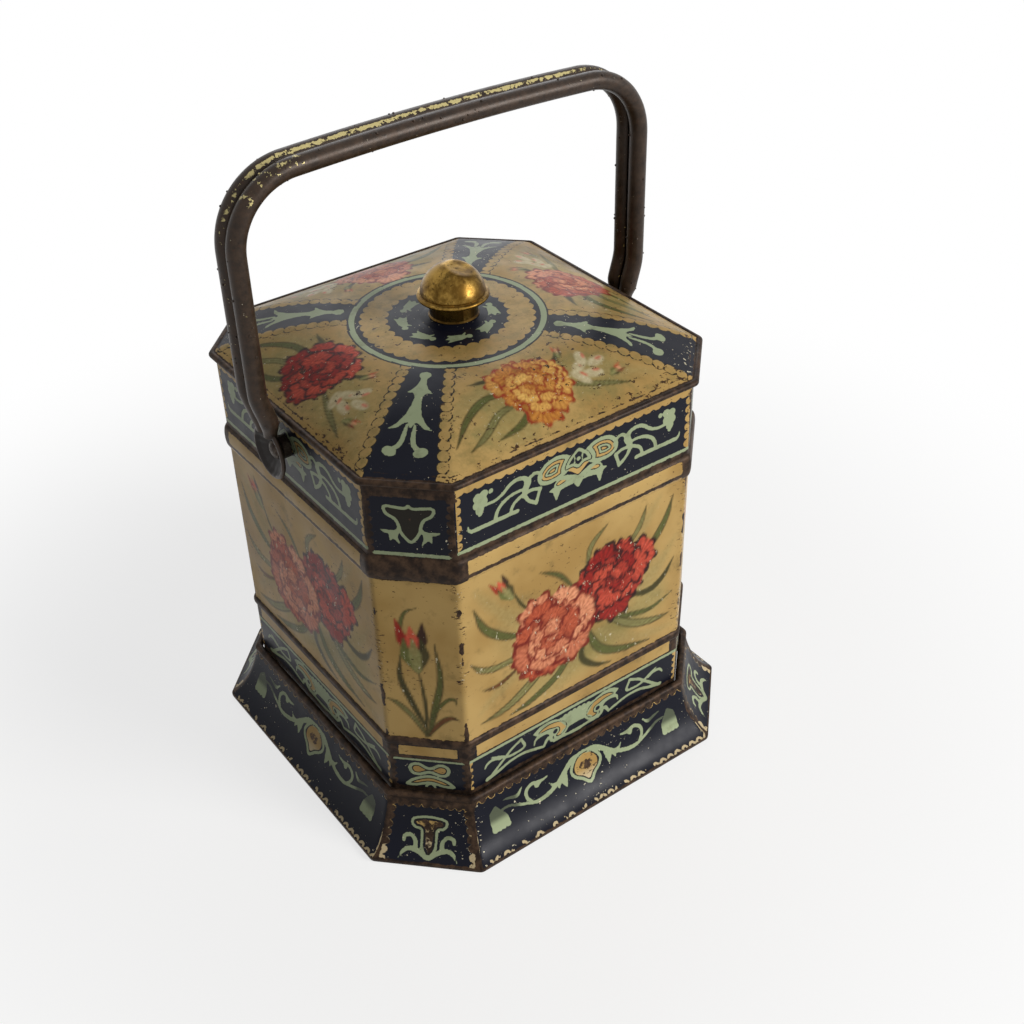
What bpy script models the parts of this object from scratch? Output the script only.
"""Chamfered tin box: a beaded case on a flared plinth, a domed lift-off lid with a brass knob, and a swing handle.

Frame: metres, +Z up, origin at the middle of the foot's underside. The front is -Y.
The handle swings about the X direction through its two pivots, and the lid lifts along +Z.
"""

import math

import bmesh
import bpy
from mathutils import Matrix, Vector

# Sheet metal and running clearances
SHEET = 0.0005
FIT_GAP = 0.0003

# Outline of the case, across its flat faces and at its cut corners
BODY_HALF = 0.0680
CORNER_CUT = 0.0200
CORNER_RADIUS = 0.0028
CORNER_STEPS = 2
PARALLEL_CUT_SHARE = 2.0 - math.sqrt(2.0)

# Heights of the bands of the case, from the foot up
PLINTH_HEIGHT = 0.0250
LOWER_BAND_HEIGHT = 0.0215
LOWER_BEAD_HEIGHT = 0.0036
PANEL_HEIGHT = 0.0699
UPPER_BEAD_HEIGHT = 0.0092
TOP_BAND_HEIGHT = 0.0280
LOWER_BEAD_RISE = 0.0008
UPPER_BEAD_RISE = 0.0013
BEAD_SHARES = ((-1.0, 0.0), (-0.80, 0.62), (0.0, 1.0), (0.80, 0.62), (1.0, 0.0))
LOWER_BEAD_Z = PLINTH_HEIGHT + LOWER_BAND_HEIGHT
UPPER_BEAD_Z = LOWER_BEAD_Z + LOWER_BEAD_HEIGHT + PANEL_HEIGHT
MOUTH_Z = UPPER_BEAD_Z + UPPER_BEAD_HEIGHT + TOP_BAND_HEIGHT

# Lower edge of the shell, and its hem, turned in at the mouth
SHELL_BASE_Z = 0.0060
HEM_RADIUS = 0.00065
HEM_DEPTH = 0.0040
HEM_STEPS = 3

# Lock seam of the shell, up the middle of its back, hammered flat at both ends
SEAM_WIDTH = 0.0050
SEAM_RISE = 0.0004
SEAM_SLOPE = 0.0004
SEAM_END_GAP = 0.0010
SEAM_END_LENGTH = 0.0015

# Bottom pan, nested in the shell with its rim turned down and its floor set in
PAN_FLOOR_RISE = 0.0040
PAN_BEND_RADIUS = 0.0012
PAN_STEP_INSET = 0.0090
PAN_STEP_RISE = 0.0010
BEND_STEPS = 2

# Plinth: a roll against the shell, a hollow flare and a turned-in foot
FOOT_SPREAD = 0.0146
ROLL_RADIUS = 0.0015
ROLL_START = math.radians(215.0)
ROLL_END = math.radians(-42.0)
ROLL_STEPS = 6
FLARE_PULL_OUT = 0.0066
FLARE_PULL_UP = 0.0060
FLARE_STEPS = 6
FOOT_LIP_HEIGHT = 0.0016
FOOT_BEND_RADIUS = 0.0007
FOOT_FLANGE_WIDTH = 0.0038

# Lid: a groove and rolled rim round the mouth, a cushion dome, and a flat disc with a boss for the knob
RIM_RADIUS = 0.00115
RIM_START = math.radians(132.0)
RIM_END = math.radians(-150.0)
RIM_STEPS = 6
GROOVE_OFFSET = 0.00015
CREASE_INSET = 0.0019
CREASE_RISE = 0.0012
DISC_RADIUS = 0.0336
DOME_RISE = 0.0097
DOME_POWER = 1.9
DOME_STEPS = 5
DISC_RISE = 0.0006
BOSS_FOOT_RADIUS = 0.0112
BOSS_RADIUS = 0.0092
BOSS_RISE = 0.0009
LID_FACE_STEPS = 5

# Skirt of the lid, which plugs the mouth
SKIRT_DEPTH = 0.0075
SKIRT_BEND_RADIUS = 0.0008
SKIRT_LEAD_IN = 0.0003
SKIRT_LEAD_HEIGHT = 0.0012

# Knob: a spun cap clinched over a base plate, on a collar, held by a stud through the lid
KNOB_RADIUS = 0.0124
KNOB_SHEET = 0.0004
KNOB_HEIGHT = 0.0123
KNOB_BEAD_HEIGHT = 0.0016
KNOB_WAIST_SHARE = 0.90
KNOB_CLINCH_WIDTH = 0.0019
KNOB_CURVE_POWER = 1.85
KNOB_STEPS = 6
KNOB_CROWN_SHARES = (0.36, 0.27, 0.18, 0.09)
DIMPLE_RADIUS = 0.0048
DIMPLE_DEPTH = 0.0014
DIMPLE_AT = (0.0018, -0.0024)
COLLAR_RADIUS = 0.0083
COLLAR_HEIGHT = 0.0060
COLLAR_FLARE = 0.0005
STUD_RADIUS = 0.0015
STUD_HEAD_RADIUS = 0.0034
STUD_HEAD_HEIGHT = 0.0016
STUD_CROWN_SHARE = 0.7
STUD_TAIL = 0.0012
WASHER_RADIUS = 0.0060
WASHER_THICKNESS = 0.0006
NUT_WIDTH = 0.0070
NUT_THICKNESS = 0.0025
NUT_BEVEL = 0.0004

# Handle: a strip with both edges rolled over, ending in dished eyes at the pivots
PIVOT_BELOW_MOUTH = 0.0117
PIVOT_Z = MOUTH_Z - PIVOT_BELOW_MOUTH
CURL_RADIUS = 0.0031
WEB_HALF = 0.0004
CURL_START = math.radians(170.0)
CURL_END = math.radians(-158.0)
CURL_STEPS = 8
LEG_STAND_OFF = 0.0093
LEG_FOOT_STAND_OFF = 0.0063
TIP_RISE = 0.0052
TIP_LENGTH = 0.0012
TIP_SHARES = (0.72, 0.94)
LEG_BEND_START = 0.0160
LEG_BEND_LENGTH = 0.0200
LEG_BEND_STEPS = 4
HANDLE_RISE = 0.0951
HANDLE_CORNER_RADIUS = 0.0230
HANDLE_CORNER_STEPS = 6
CROSSBAR_ARCH = 0.0012
CROSSBAR_STEPS = 6
EYE_RADIUS = 0.0097
EYE_BEAD_RADIUS = 0.00075
EYE_BEAD_START = math.radians(160.0)
EYE_BEAD_END = math.radians(-110.0)
EYE_BEAD_STEPS = 5
EYE_FLOOR_RADIUS = 0.0046
EYE_DISH_DEPTH = 0.0024
EYE_THICKNESS = 0.0006

# Pivots: a rivet through the eye, a distance collar, the wall and a backing washer
RIVET_RADIUS = 0.0016
RIVET_HEAD_RADIUS = 0.0034
RIVET_HEAD_HEIGHT = 0.0017
RIVET_HEAD_STEPS = 4
RIVET_TAIL_RADIUS = 0.0027
RIVET_TAIL_HEIGHT = 0.0009
DISTANCE_COLLAR_RADIUS = 0.0040
BACKING_RADIUS = 0.0042
BACKING_THICKNESS = 0.0006
DRILL_OVERRUN = 0.0030

# Roundness of the turned pieces
KNOB_SIDES = 32
SMALL_SIDES = 16
EYE_SIDES = 24
SMOOTH_ANGLE = math.radians(38.0)
ON_AXIS_MERGE = 0.000001


def clear_scene():
    """Removes what a new file starts with."""
    for obj in list(bpy.data.objects):
        bpy.data.objects.remove(obj)


def material(name, colour, roughness, metallic):
    """A plain shader with the part's colour, roughness and metallic value."""
    made = bpy.data.materials.new(name)
    made.use_nodes = True
    shader = made.node_tree.nodes["Principled BSDF"]
    shader.inputs["Base Color"].default_value = (*colour, 1.0)
    shader.inputs["Roughness"].default_value = roughness
    shader.inputs["Metallic"].default_value = metallic
    return made


def joint_empty(name, height):
    """An empty on a joint's axis, which the pieces of a moving body hang from."""
    empty = bpy.data.objects.new(name, None)
    empty.location = (0.0, 0.0, height)
    bpy.context.scene.collection.objects.link(empty)
    bpy.context.view_layer.update()
    return empty


def add_piece(name, bm, finish, parent=None):
    """Turns a bmesh in the part's frame into an object that hangs from its parent's origin."""
    bmesh.ops.recalc_face_normals(bm, faces=bm.faces)
    if parent:
        bmesh.ops.translate(bm, verts=bm.verts, vec=-parent.location)
    mesh = bpy.data.meshes.new(name)
    bm.to_mesh(mesh)
    bm.free()
    mesh.materials.append(finish)
    mesh.shade_smooth()
    mesh.set_sharp_from_angle(angle=SMOOTH_ANGLE)
    obj = bpy.data.objects.new(name, mesh)
    obj.parent = parent
    bpy.context.scene.collection.objects.link(obj)
    return obj


def thicken(obj, thickness):
    """Gives a sheet its thickness on the side away from its normals."""
    sheet = obj.modifiers.new("sheet", "SOLIDIFY")
    sheet.thickness = thickness
    sheet.offset = -1.0
    sheet.use_even_offset = True


def combine(obj, other, operation):
    """Adds an exact Boolean with a helper solid, which stays out of the part."""
    other.hide_render = True
    other.display_type = "WIRE"
    step = obj.modifiers.new(other.name, "BOOLEAN")
    step.operation = operation
    step.solver = "EXACT"
    step.object = other


def skin(bm, rings):
    """Joins closed rings of equal length with quads, in order, and returns their vertices."""
    rows = [[bm.verts.new(point) for point in ring] for ring in rings]
    for low, high in zip(rows[:-1], rows[1:]):
        for here in range(len(low)):
            there = (here + 1) % len(low)
            bm.faces.new((low[here], low[there], high[there], high[here]))
    return rows


def arc(centre, radius, start, end, steps):
    """Points of an arc in a profile's plane, both ends included."""
    turns = [start + (end - start) * step / steps for step in range(steps + 1)]
    return [(centre[0] + radius * math.cos(turn), centre[1] + radius * math.sin(turn)) for turn in turns]


def parabola(start, pull, end, steps):
    """Points of a curve pulled towards a point, without its first one."""
    points = []
    for step in range(1, steps + 1):
        share = step / steps
        weights = ((1 - share) ** 2, 2 * share * (1 - share), share**2)
        points.append(tuple(sum(w * p[axis] for w, p in zip(weights, (start, pull, end))) for axis in (0, 1)))
    return points


def bead(base, height, rise):
    """Profile of a swaged bead that starts at a height."""
    middle = base + height / 2
    return [(rise * out, middle + along * height / 2) for along, out in BEAD_SHARES]


def case_ring(offset, height, face_steps=1, seam_rise=None):
    """The case's outline moved out by an offset: four faces, four cut corners and eight rounded edges.

    With face_steps each face gets points along it. With a seam rise the back face carries the seam.
    """
    half = BODY_HALF + offset - CORNER_RADIUS
    near = half - (CORNER_CUT + PARALLEL_CUT_SHARE * (offset - CORNER_RADIUS))
    cores = [(half, near), (near, half), (-near, half), (-half, near)]
    cores += [(-x, -y) for x, y in cores]
    ring = []
    for index, (x, y) in enumerate(cores):
        turns = [math.pi / 4 * (index + step / CORNER_STEPS) for step in range(CORNER_STEPS + 1)]
        ring += [(x + CORNER_RADIUS * math.cos(turn), y + CORNER_RADIUS * math.sin(turn)) for turn in turns]
        if index == 1 and seam_rise is not None:
            wall = BODY_HALF + offset
            edge = SEAM_WIDTH / 2
            foot = edge + SEAM_SLOPE
            ring += [(foot, wall), (edge, wall + seam_rise), (-edge, wall + seam_rise), (-foot, wall)]
        elif index % 2 == 1:
            span = 2 * near
            along = (math.cos(turns[-1] + math.pi / 2), math.sin(turns[-1] + math.pi / 2))
            steps = [span * step / face_steps for step in range(1, face_steps)]
            x_corner, y_corner = ring[-1]
            ring += [(x_corner + along[0] * step, y_corner + along[1] * step) for step in steps]
    return [Vector((x, y, height)) for x, y in ring]


def case_sheet(name, rings, finish, parent=None, closed=False):
    """A sheet lofted through rings round the case, with its thickness, and with a floor if it is closed."""
    bm = bmesh.new()
    rows = skin(bm, rings)
    if closed:
        bm.faces.new(rows[-1])
    obj = add_piece(name, bm, finish, parent)
    thicken(obj, SHEET)
    return obj


def turned(name, profile, sides, finish, parent=None, along_x=0):
    """A solid turned from a profile of radii and heights, about Z or, at the pivots' height, about X outwards."""
    bm = bmesh.new()
    verts = [bm.verts.new((radius, 0.0, height)) for radius, height in profile]
    pairs = list(zip(verts, verts[1:] + verts[:1]))
    if profile[0][0] == 0.0:
        pairs.pop()
    edges = [bm.edges.new(pair) for pair in pairs]
    bmesh.ops.spin(
        bm,
        geom=verts + edges,
        cent=(0.0, 0.0, 0.0),
        axis=(0.0, 0.0, 1.0),
        angle=math.tau,
        steps=sides,
        use_merge=True,
    )
    bmesh.ops.remove_doubles(bm, verts=bm.verts, dist=ON_AXIS_MERGE)
    if along_x:
        quarter = Matrix.Rotation(along_x * math.pi / 2, 3, "Y")
        bmesh.ops.rotate(bm, verts=bm.verts, cent=(0.0, 0.0, 0.0), matrix=quarter)
        bmesh.ops.translate(bm, verts=bm.verts, vec=(0.0, 0.0, PIVOT_Z))
    return add_piece(name, bm, finish, parent)


def tube_profile(inner, outer, low, high):
    """Closed profile of a plain washer or sleeve."""
    return [(inner, low), (outer, low), (outer, high), (inner, high)]


def build_shell(tin):
    """The shell of the case: its lower edge, two swaged beads, back seam and hem, drilled for the pivots."""
    seam_foot = PLINTH_HEIGHT + SEAM_END_GAP
    seam_top = MOUTH_Z - 2 * RIM_RADIUS - SEAM_END_GAP
    profile = [(0.0, SHELL_BASE_Z), (0.0, seam_foot), (0.0, seam_foot + SEAM_END_LENGTH)]
    profile += bead(LOWER_BEAD_Z, LOWER_BEAD_HEIGHT, LOWER_BEAD_RISE)
    profile += bead(UPPER_BEAD_Z, UPPER_BEAD_HEIGHT, UPPER_BEAD_RISE)
    profile += [(0.0, seam_top - SEAM_END_LENGTH), (0.0, seam_top)]
    profile += arc((-HEM_RADIUS, MOUTH_Z - HEM_RADIUS), HEM_RADIUS, 0.0, math.pi, HEM_STEPS)
    profile += [(-2 * HEM_RADIUS, MOUTH_Z - HEM_DEPTH)]
    rings = []
    for offset, height in profile:
        seamed = seam_foot < height < seam_top
        rings.append(case_ring(offset, height, seam_rise=SEAM_RISE if seamed else 0.0))
    shell = case_sheet("body_shell", rings, tin)
    reach = BODY_HALF + DRILL_OVERRUN
    radius = RIVET_RADIUS + FIT_GAP
    drill = [(0.0, reach), (radius, reach), (radius, -reach), (0.0, -reach)]
    combine(shell, turned("pivot_drill", drill, SMALL_SIDES, tin, along_x=1), "DIFFERENCE")


def build_bottom(tin):
    """The bottom pan inside the shell, with its rim turned down."""
    nest = -(SHEET + FIT_GAP)
    floor_z = SHELL_BASE_Z + PAN_FLOOR_RISE
    step = nest - PAN_STEP_INSET
    profile = [(nest, SHELL_BASE_Z)]
    profile += arc((nest - PAN_BEND_RADIUS, floor_z - PAN_BEND_RADIUS), PAN_BEND_RADIUS, 0.0, math.pi / 2, BEND_STEPS)
    profile += [(step, floor_z), (step - PAN_STEP_RISE, floor_z + PAN_STEP_RISE)]
    case_sheet("bottom_pan", [case_ring(*point) for point in profile], tin, closed=True)


def build_plinth(tin):
    """The plinth: a roll against the shell, a hollow flare, an upright lip and a foot turned in."""
    roll_centre = (ROLL_RADIUS + FIT_GAP, PLINTH_HEIGHT - ROLL_RADIUS)
    bend_centre = (FOOT_SPREAD - FOOT_BEND_RADIUS, FOOT_BEND_RADIUS)
    profile = arc(roll_centre, ROLL_RADIUS, ROLL_START, ROLL_END, ROLL_STEPS)
    profile += parabola(profile[-1], (FLARE_PULL_OUT, FLARE_PULL_UP), (FOOT_SPREAD, FOOT_LIP_HEIGHT), FLARE_STEPS)
    profile += arc(bend_centre, FOOT_BEND_RADIUS, 0.0, -math.pi / 2, BEND_STEPS)
    profile += [(FOOT_SPREAD - FOOT_FLANGE_WIDTH, 0.0)]
    case_sheet("plinth", [case_ring(*point) for point in profile], tin)


def lid_circle(radius, height):
    """A round ring with its points at the same turns as the lid's outline has."""
    outline = case_ring(-CREASE_INSET, height, LID_FACE_STEPS)
    return [Vector((*(point.xy.normalized() * radius), height)) for point in outline]


def build_lid(tin, lid):
    """The lid's dome with its rolled rim, and the skirt under it. Returns the height of the boss."""
    groove_z = MOUTH_Z + 2 * (FIT_GAP + SHEET)
    crease_z = groove_z + CREASE_RISE
    disc_z = crease_z + DOME_RISE
    boss_foot_z = disc_z + DISC_RISE
    boss_z = boss_foot_z + BOSS_RISE
    rings = [
        lid_circle(STUD_RADIUS + FIT_GAP, boss_z),
        lid_circle(BOSS_RADIUS, boss_z),
        lid_circle(BOSS_FOOT_RADIUS, boss_foot_z),
        lid_circle(DISC_RADIUS, disc_z),
    ]
    crease = case_ring(-CREASE_INSET, crease_z, LID_FACE_STEPS)
    disc = rings[-1]
    for step in range(1, DOME_STEPS):
        share = step / DOME_STEPS
        drop = DOME_RISE * share**DOME_POWER
        flat_ring = [inner.lerp(outer, share) for inner, outer in zip(disc, crease)]
        rings.append([Vector((*point.xy, disc_z - drop)) for point in flat_ring])
    rim_centre = (RIM_RADIUS + FIT_GAP, groove_z - RIM_RADIUS * math.sin(RIM_START))
    profile = [(-CREASE_INSET, crease_z), (GROOVE_OFFSET, groove_z)]
    profile += arc(rim_centre, RIM_RADIUS, RIM_START, RIM_END, RIM_STEPS)
    rings += [case_ring(offset, height, LID_FACE_STEPS) for offset, height in profile]
    case_sheet("lid_dome", rings, tin, lid)

    inside = -2 * HEM_RADIUS - FIT_GAP - SHEET
    flange_z = MOUTH_Z + FIT_GAP + SHEET
    foot_z = flange_z - SKIRT_DEPTH
    bend_centre = (inside + SKIRT_BEND_RADIUS, flange_z - SKIRT_BEND_RADIUS)
    profile = [(-FIT_GAP, flange_z)]
    profile += arc(bend_centre, SKIRT_BEND_RADIUS, math.pi / 2, math.pi, BEND_STEPS)
    profile += [(inside, foot_z + SKIRT_LEAD_HEIGHT), (inside - SKIRT_LEAD_IN, foot_z)]
    case_sheet("lid_skirt", [case_ring(*point) for point in profile], tin, lid)
    return boss_z


def build_knob_cap(brass, lid, clinch_z):
    """The knob's cap: a sheet from the edge clinched under the base plate, up over a dented crown."""
    waist = KNOB_RADIUS * KNOB_WAIST_SHARE
    waist_z = clinch_z + KNOB_BEAD_HEIGHT
    bead_z = clinch_z + KNOB_BEAD_HEIGHT / 2
    rise = KNOB_HEIGHT - KNOB_BEAD_HEIGHT
    profile = [(waist - KNOB_CLINCH_WIDTH + SHEET, clinch_z), (waist, clinch_z), (KNOB_RADIUS, bead_z), (waist, waist_z)]
    turns = [math.pi / 3 * step / KNOB_STEPS for step in range(1, KNOB_STEPS + 1)]
    outs = [math.cos(turn) ** (2 / KNOB_CURVE_POWER) for turn in turns]
    for out in outs + list(KNOB_CROWN_SHARES):
        profile.append((waist * out, waist_z + rise * (1 - out**KNOB_CURVE_POWER) ** (1 / KNOB_CURVE_POWER)))
    sides = [math.tau * side / KNOB_SIDES for side in range(KNOB_SIDES)]
    bm = bmesh.new()
    rows = skin(bm, [[(out * math.cos(turn), out * math.sin(turn), z) for turn in sides] for out, z in profile])
    crown = bm.verts.new((0.0, 0.0, clinch_z + KNOB_HEIGHT))
    for here, there in zip(rows[-1], rows[-1][1:] + rows[-1][:1]):
        bm.faces.new((here, there, crown))
    for vert in bm.verts:
        away = math.dist(vert.co.xy, DIMPLE_AT) / DIMPLE_RADIUS
        if away < 1 and vert.co.z > bead_z:
            vert.co.z -= DIMPLE_DEPTH * (1 - away**2) ** 2
    thicken(add_piece("knob_cap", bm, brass, lid), KNOB_SHEET)


def build_knob_nut(steel, lid, top, hole):
    """The square nut under the lid."""
    half = NUT_WIDTH / 2
    bm = bmesh.new()
    corners = [(-half, -half), (half, -half), (half, half), (-half, half)]
    face = bm.faces.new([bm.verts.new((x, y, top - NUT_THICKNESS)) for x, y in corners])
    raised = bmesh.ops.extrude_face_region(bm, geom=[face])["geom"]
    lifted = [item for item in raised if isinstance(item, bmesh.types.BMVert)]
    bmesh.ops.translate(bm, verts=lifted, vec=(0.0, 0.0, NUT_THICKNESS))
    bmesh.ops.recalc_face_normals(bm, faces=bm.faces)
    bmesh.ops.bevel(bm, geom=bm.edges, offset=NUT_BEVEL, segments=1, affect="EDGES")
    nut = add_piece("knob_nut", bm, steel, lid)
    high = top + DRILL_OVERRUN
    low = top - NUT_THICKNESS - DRILL_OVERRUN
    drill = turned("nut_drill", [(0.0, high), (hole, high), (hole, low), (0.0, low)], SMALL_SIDES, steel, lid)
    combine(nut, drill, "DIFFERENCE")


def build_knob(brass, steel, lid, boss_z):
    """The brass knob on its collar, with the stud, washer and nut that hold it to the lid."""
    hole = STUD_RADIUS + FIT_GAP
    collar_base = boss_z + FIT_GAP
    collar_top = collar_base + COLLAR_HEIGHT
    collar_inside = COLLAR_RADIUS - SHEET
    foot = (COLLAR_RADIUS + COLLAR_FLARE, collar_base)
    collar = [(collar_inside, collar_base), foot, (COLLAR_RADIUS, collar_base + COLLAR_FLARE)]
    collar += [(COLLAR_RADIUS, collar_top), (collar_inside, collar_top)]
    turned("knob_collar", collar, KNOB_SIDES, brass, lid)

    clinch_z = collar_top + FIT_GAP
    plate_base = clinch_z + KNOB_SHEET + FIT_GAP
    plate_top = plate_base + SHEET
    plate_radius = KNOB_RADIUS * KNOB_WAIST_SHARE - KNOB_SHEET - FIT_GAP
    turned("knob_base_plate", tube_profile(hole, plate_radius, plate_base, plate_top), KNOB_SIDES, brass, lid)
    build_knob_cap(brass, lid, clinch_z)

    washer_top = boss_z - SHEET - FIT_GAP
    washer_base = washer_top - WASHER_THICKNESS
    nut_top = washer_base - FIT_GAP
    tail_z = nut_top - NUT_THICKNESS - STUD_TAIL
    head_z = plate_top + FIT_GAP
    stud = [
        (0.0, head_z + STUD_HEAD_HEIGHT),
        (STUD_HEAD_RADIUS * STUD_CROWN_SHARE, head_z + STUD_HEAD_HEIGHT),
        (STUD_HEAD_RADIUS, head_z + STUD_HEAD_HEIGHT / 2),
        (STUD_HEAD_RADIUS, head_z),
        (STUD_RADIUS, head_z),
        (STUD_RADIUS, tail_z),
        (0.0, tail_z),
    ]
    turned("knob_stud", stud, SMALL_SIDES, steel, lid)
    turned("knob_washer", tube_profile(hole, WASHER_RADIUS, washer_base, washer_top), SMALL_SIDES, steel, lid)
    build_knob_nut(steel, lid, nut_top, hole)


def curl_section(share):
    """Outline across the strip: a narrow web between two open curls, scaled by a share."""
    centre = (WEB_HALF + CURL_RADIUS, 0.0)
    half_sheet = SHEET / 2
    outer = arc(centre, CURL_RADIUS, CURL_START, CURL_END, CURL_STEPS)
    inner = arc(centre, CURL_RADIUS - SHEET, CURL_END, CURL_START, CURL_STEPS)
    inner[-1] = (inner[-1][0], -half_sheet)
    near = [(0.0, half_sheet)] + outer + inner + [(0.0, -half_sheet)]
    far = [(-across, out) for across, out in reversed(near[1:-1])]
    return [(across * share, out * share) for across, out in near + far]


def handle_path():
    """Centre line of the handle in its own plane, from the left tip to the right tip, measured from the pivots."""
    foot = BODY_HALF + LEG_FOOT_STAND_OFF
    leg = BODY_HALF + LEG_STAND_OFF
    path = [(foot, TIP_RISE), (foot, TIP_RISE + TIP_LENGTH)]
    for step in range(LEG_BEND_STEPS + 1):
        share = step / LEG_BEND_STEPS
        ease = share**2 * (3 - 2 * share)
        path.append((foot + (leg - foot) * ease, LEG_BEND_START + LEG_BEND_LENGTH * share))
    reach = leg - HANDLE_CORNER_RADIUS
    shoulder = HANDLE_RISE - CROSSBAR_ARCH - HANDLE_CORNER_RADIUS
    path += arc((reach, shoulder), HANDLE_CORNER_RADIUS, 0.0, math.pi / 2, HANDLE_CORNER_STEPS)
    shares = [1 - 2 * step / CROSSBAR_STEPS for step in range(CROSSBAR_STEPS - 1, 0, -1)]
    bar = [(reach * share, HANDLE_RISE - CROSSBAR_ARCH * share**2) for share in shares]
    return [(-x, z) for x, z in path] + bar + path[::-1]


def build_handle(tin, swing):
    """The rolled strip, joined to its two dished eyes. Returns how far out the eyes' backs lie."""
    path = handle_path()
    shares = [*TIP_SHARES, *[1.0] * (len(path) - 2 * len(TIP_SHARES)), *TIP_SHARES[::-1]]
    rings = []
    for index, (x, z) in enumerate(path):
        x_before, z_before = path[max(index - 1, 0)]
        x_after, z_after = path[min(index + 1, len(path) - 1)]
        along = Vector((x_after - x_before, 0.0, z_after - z_before)).normalized()
        outward = Vector((-along.z, 0.0, along.x))
        middle = Vector((x, 0.0, PIVOT_Z + z))
        section = curl_section(shares[index])
        rings.append([middle + Vector((0.0, across, 0.0)) + outward * out for across, out in section])
    bm = bmesh.new()
    rows = skin(bm, rings)
    bm.faces.new(rows[0])
    bm.faces.new(rows[-1])
    handle = add_piece("handle", bm, tin, swing)

    rim_out = BODY_HALF + LEG_FOOT_STAND_OFF
    floor_front = rim_out - EYE_DISH_DEPTH
    floor_back = floor_front - EYE_THICKNESS
    bead_centre = (EYE_RADIUS - EYE_BEAD_RADIUS, rim_out)
    hole = RIVET_RADIUS + FIT_GAP
    profile = [(hole, floor_front), (EYE_FLOOR_RADIUS, floor_front)]
    profile += arc(bead_centre, EYE_BEAD_RADIUS, EYE_BEAD_START, EYE_BEAD_END, EYE_BEAD_STEPS)
    profile += [(EYE_FLOOR_RADIUS, floor_back), (hole, floor_back)]
    for side, name in ((-1, "left"), (1, "right")):
        combine(handle, turned(f"eye_form_{name}", profile, EYE_SIDES, tin, swing, side), "UNION")
    return floor_back


def build_pivots(steel, eye_back):
    """The rivet, distance collar and backing washer of each pivot, which the case carries."""
    hole = RIVET_RADIUS + FIT_GAP
    head = eye_back + EYE_THICKNESS + FIT_GAP
    backing_out = BODY_HALF - SHEET - FIT_GAP
    backing_in = backing_out - BACKING_THICKNESS
    tail = backing_in - FIT_GAP
    rivet = [(0.0, head + RIVET_HEAD_HEIGHT)]
    for step in range(1, RIVET_HEAD_STEPS + 1):
        turn = math.pi / 2 * step / RIVET_HEAD_STEPS
        rivet.append((RIVET_HEAD_RADIUS * math.sin(turn), head + RIVET_HEAD_HEIGHT * math.cos(turn)))
    rivet += [
        (RIVET_RADIUS, head),
        (RIVET_RADIUS, tail),
        (RIVET_TAIL_RADIUS, tail),
        (RIVET_TAIL_RADIUS, tail - RIVET_TAIL_HEIGHT / 2),
        (RIVET_RADIUS, tail - RIVET_TAIL_HEIGHT),
        (0.0, tail - RIVET_TAIL_HEIGHT),
    ]
    collar = tube_profile(hole, DISTANCE_COLLAR_RADIUS, BODY_HALF + FIT_GAP, eye_back - FIT_GAP)
    backing = tube_profile(hole, BACKING_RADIUS, backing_in, backing_out)
    for side, name in ((-1, "left"), (1, "right")):
        turned(f"pivot_rivet_{name}", rivet, SMALL_SIDES, steel, along_x=side)
        turned(f"distance_collar_{name}", collar, SMALL_SIDES, steel, along_x=side)
        turned(f"backing_washer_{name}", backing, SMALL_SIDES, steel, along_x=side)


def main():
    """Builds every piece of the tin."""
    clear_scene()
    printed = material("printed_tin", (0.30, 0.22, 0.10), 0.42, 0.35)
    bare = material("bare_tin", (0.060, 0.042, 0.032), 0.45, 0.8)
    brass = material("brass", (0.46, 0.31, 0.08), 0.28, 1.0)
    steel = material("steel", (0.16, 0.14, 0.12), 0.5, 1.0)
    lid = joint_empty("lid_lift", MOUTH_Z)
    swing = joint_empty("handle_swing", PIVOT_Z)
    build_shell(printed)
    build_bottom(printed)
    build_plinth(printed)
    boss_z = build_lid(printed, lid)
    build_knob(brass, steel, lid, boss_z)
    eye_back = build_handle(bare, swing)
    build_pivots(steel, eye_back)


main()
